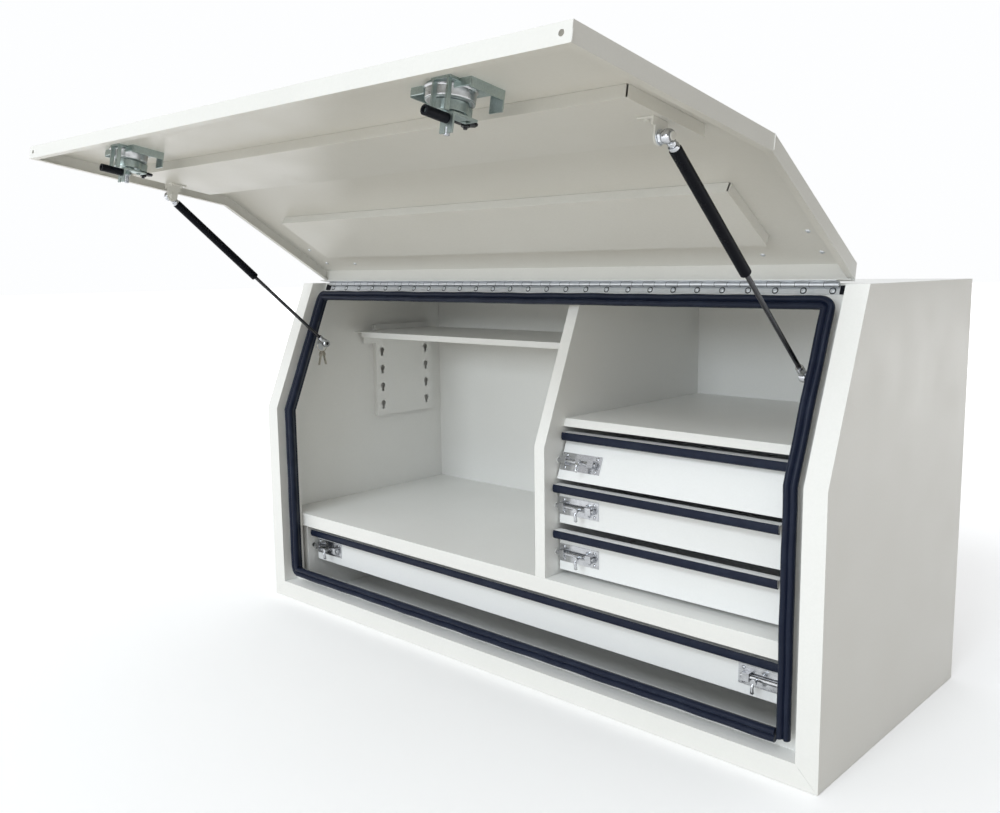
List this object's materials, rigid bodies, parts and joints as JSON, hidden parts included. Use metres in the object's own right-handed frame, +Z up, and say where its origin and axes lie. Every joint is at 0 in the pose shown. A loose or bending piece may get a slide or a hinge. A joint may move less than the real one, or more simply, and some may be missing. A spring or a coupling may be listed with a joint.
{
  "type": "tool chest",
  "caption": "Wide white steel tool chest whose kinked front door lifts on gas struts over an open bay, an adjustable shelf and sliding drawers.",
  "frame": {"origin": "centre of the flat base, on the floor", "axes": "+X along the width towards the drawers, -Y out of the front, +Z up; stored with the door open"},
  "size_m": [1.5, 1.1684, 1.0962],
  "materials": {
    "body_paint": "satin powder coat",
    "door_paint": "satin powder coat",
    "drawer_paint": "satin powder coat",
    "zinc_plate": "zinc plated",
    "latch_zinc": "zinc plated",
    "bolt_chrome": "bright plated",
    "rubber": "matt",
    "strut_black": "satin black",
    "rod_steel": "ground and hardened",
    "black_plastic": "matt",
    "key_brass": "nickel plated"
  },
  "bodies": {
    "chest": {"shell": "body_paint", "side_left": "body_paint", "side_right": "body_paint", "seal": "rubber", "deck": "body_paint", "divider": "body_paint", "bay_floor": "body_paint", "drawer_panel": "body_paint", "supports": "body_paint", "keyhole_plates": "body_paint", "hinge_leaf_body": "zinc_plate", "hinge_pin": "zinc_plate", "hinge_screws": "zinc_plate", "strut_anchors": "zinc_plate", "runner_outers": "zinc_plate"},
    "door": {"door_pan": "door_paint", "stiffener_low": "door_paint", "stiffener_high": "door_paint", "door_brackets": "door_paint", "hinge_leaf_door": "zinc_plate", "latch_dishes": "zinc_plate"},
    "shelf": {"shelf": "body_paint"},
    "keys": {"keys": "key_brass"},
    "strut_tube_left": {"strut_tube_left": "strut_black"},
    "strut_rod_left": {"strut_rod_left": "rod_steel"},
    "strut_tube_right": {"strut_tube_right": "strut_black"},
    "strut_rod_right": {"strut_rod_right": "rod_steel"},
    "latch_turn_left": {"latch_handle_left": "latch_zinc", "latch_cam_left": "latch_zinc"},
    "latch_slide_left": {"latch_bolt_left": "latch_zinc", "latch_sleeve_left": "black_plastic"},
    "latch_turn_right": {"latch_handle_right": "latch_zinc", "latch_cam_right": "latch_zinc"},
    "latch_slide_right": {"latch_bolt_right": "latch_zinc", "latch_sleeve_right": "black_plastic"},
    "drawer_top": {"drawer_top": "drawer_paint", "trim_top": "rubber", "runner_inner_top": "zinc_plate", "bolt_plate_top": "bolt_chrome"},
    "runner_mid_top": {"runner_mid_top": "zinc_plate"},
    "drawer_middle": {"drawer_middle": "drawer_paint", "trim_middle": "rubber", "runner_inner_middle": "zinc_plate", "bolt_plate_middle": "bolt_chrome"},
    "runner_mid_middle": {"runner_mid_middle": "zinc_plate"},
    "drawer_low": {"drawer_low": "drawer_paint", "trim_low": "rubber", "runner_inner_low": "zinc_plate", "bolt_plate_low": "bolt_chrome"},
    "runner_mid_low": {"runner_mid_low": "zinc_plate"},
    "drawer_wide": {"drawer_wide": "drawer_paint", "trim_wide": "rubber", "runner_inner_wide": "zinc_plate", "bolt_plate_wide": "bolt_chrome"},
    "runner_mid_wide": {"runner_mid_wide": "zinc_plate"},
    "bolt_top": {"bolt_top": "bolt_chrome"},
    "bolt_middle": {"bolt_middle": "bolt_chrome"},
    "bolt_low": {"bolt_low": "bolt_chrome"},
    "bolt_wide_left": {"bolt_wide_left": "bolt_chrome"},
    "bolt_wide_right": {"bolt_wide_right": "bolt_chrome"}
  },
  "joints": [
    {"name": "door_hinge", "type": "hinge", "parent": "chest", "child": "door", "pos_m": [0, -0.13975, 0.80363], "axis": [-1, 0, 0], "range_deg": [-100, 0]},
    {"name": "strut_pivot_left", "type": "hinge", "parent": "door", "child": "strut_tube_left", "pos_m": [-0.65, -0.59542, 1.00455], "axis": [-1, 0, 0], "range_deg": [-18.5, 0]},
    {"name": "strut_slide_left", "type": "slide", "parent": "strut_tube_left", "child": "strut_rod_left", "axis": [0, 0.7592, -0.6508], "range_m": [-0.1968, 0]},
    {"name": "strut_pivot_right", "type": "hinge", "parent": "door", "child": "strut_tube_right", "pos_m": [0.65, -0.59542, 1.00455], "axis": [-1, 0, 0], "range_deg": [-18.5, 0]},
    {"name": "strut_slide_right", "type": "slide", "parent": "strut_tube_right", "child": "strut_rod_right", "axis": [0, 0.7592, -0.6508], "range_m": [-0.1968, 0]},
    {"name": "latch_turn_left", "type": "hinge", "parent": "door", "child": "latch_turn_left", "pos_m": [-0.49, -0.76296, 1.05643], "axis": [0, -0.1736, -0.9848], "range_deg": [0, 90]},
    {"name": "latch_slide_left", "type": "slide", "parent": "door", "child": "latch_slide_left", "axis": [0, -0.9848, 0.1736], "range_m": [0, 0.03001]},
    {"name": "latch_turn_right", "type": "hinge", "parent": "door", "child": "latch_turn_right", "pos_m": [0.418, -0.76296, 1.05643], "axis": [0, -0.1736, -0.9848], "range_deg": [0, 90]},
    {"name": "latch_slide_right", "type": "slide", "parent": "door", "child": "latch_slide_right", "axis": [0, -0.9848, 0.1736], "range_m": [0, 0.03001]},
    {"name": "drawer_slide_top", "type": "slide", "parent": "chest", "child": "drawer_top", "axis": [0, -1, 0], "range_m": [0, 0.38]},
    {"name": "runner_slide_top", "type": "slide", "parent": "chest", "child": "runner_mid_top", "axis": [0, -1, 0], "range_m": [0, 0.19]},
    {"name": "drawer_slide_middle", "type": "slide", "parent": "chest", "child": "drawer_middle", "axis": [0, -1, 0], "range_m": [0, 0.38]},
    {"name": "runner_slide_middle", "type": "slide", "parent": "chest", "child": "runner_mid_middle", "axis": [0, -1, 0], "range_m": [0, 0.19]},
    {"name": "drawer_slide_low", "type": "slide", "parent": "chest", "child": "drawer_low", "axis": [0, -1, 0], "range_m": [0, 0.38]},
    {"name": "runner_slide_low", "type": "slide", "parent": "chest", "child": "runner_mid_low", "axis": [0, -1, 0], "range_m": [0, 0.19]},
    {"name": "drawer_slide_wide", "type": "slide", "parent": "chest", "child": "drawer_wide", "axis": [0, -1, 0], "range_m": [0, 0.38]},
    {"name": "runner_slide_wide", "type": "slide", "parent": "chest", "child": "runner_mid_wide", "axis": [0, -1, 0], "range_m": [0, 0.19]},
    {"name": "bolt_top_slide", "type": "slide", "parent": "drawer_top", "child": "bolt_top", "axis": [-1, 0, 0], "range_m": [-0.01, 0.014]},
    {"name": "bolt_middle_slide", "type": "slide", "parent": "drawer_middle", "child": "bolt_middle", "axis": [-1, 0, 0], "range_m": [-0.01, 0.014]},
    {"name": "bolt_low_slide", "type": "slide", "parent": "drawer_low", "child": "bolt_low", "axis": [-1, 0, 0], "range_m": [-0.01, 0.014]},
    {"name": "bolt_wide_left_slide", "type": "slide", "parent": "drawer_wide", "child": "bolt_wide_left", "axis": [-1, 0, 0], "range_m": [-0.01, 0.016]},
    {"name": "bolt_wide_right_slide", "type": "slide", "parent": "drawer_wide", "child": "bolt_wide_right", "axis": [1, 0, 0], "range_m": [-0.01, 0.016]},
    {"name": "shelf_lift", "type": "slide", "parent": "chest", "child": "shelf", "axis": [0, 0, 1], "range_m": [0, 0.012]},
    {"name": "keys_swing", "type": "hinge", "parent": "chest", "child": "keys", "pos_m": [-0.6673, -0.18658, 0.65411], "axis": [1, 0, 0], "range_deg": [-18, 25]}
  ],
  "couplings": [
    {"joint": "strut_pivot_left", "follows": "door_hinge", "ratio": 0.18454},
    {"joint": "strut_slide_left", "follows": "door_hinge", "m_per_rad": 0.11271},
    {"joint": "strut_pivot_right", "follows": "door_hinge", "ratio": 0.18454},
    {"joint": "strut_slide_right", "follows": "door_hinge", "m_per_rad": 0.11271},
    {"joint": "latch_slide_left", "follows": "latch_turn_left", "m_per_rad": 0.019099},
    {"joint": "latch_slide_right", "follows": "latch_turn_right", "m_per_rad": 0.019099},
    {"joint": "runner_slide_top", "follows": "drawer_slide_top", "ratio": 0.5},
    {"joint": "runner_slide_middle", "follows": "drawer_slide_middle", "ratio": 0.5},
    {"joint": "runner_slide_low", "follows": "drawer_slide_low", "ratio": 0.5},
    {"joint": "runner_slide_wide", "follows": "drawer_slide_wide", "ratio": 0.5}
  ]
}
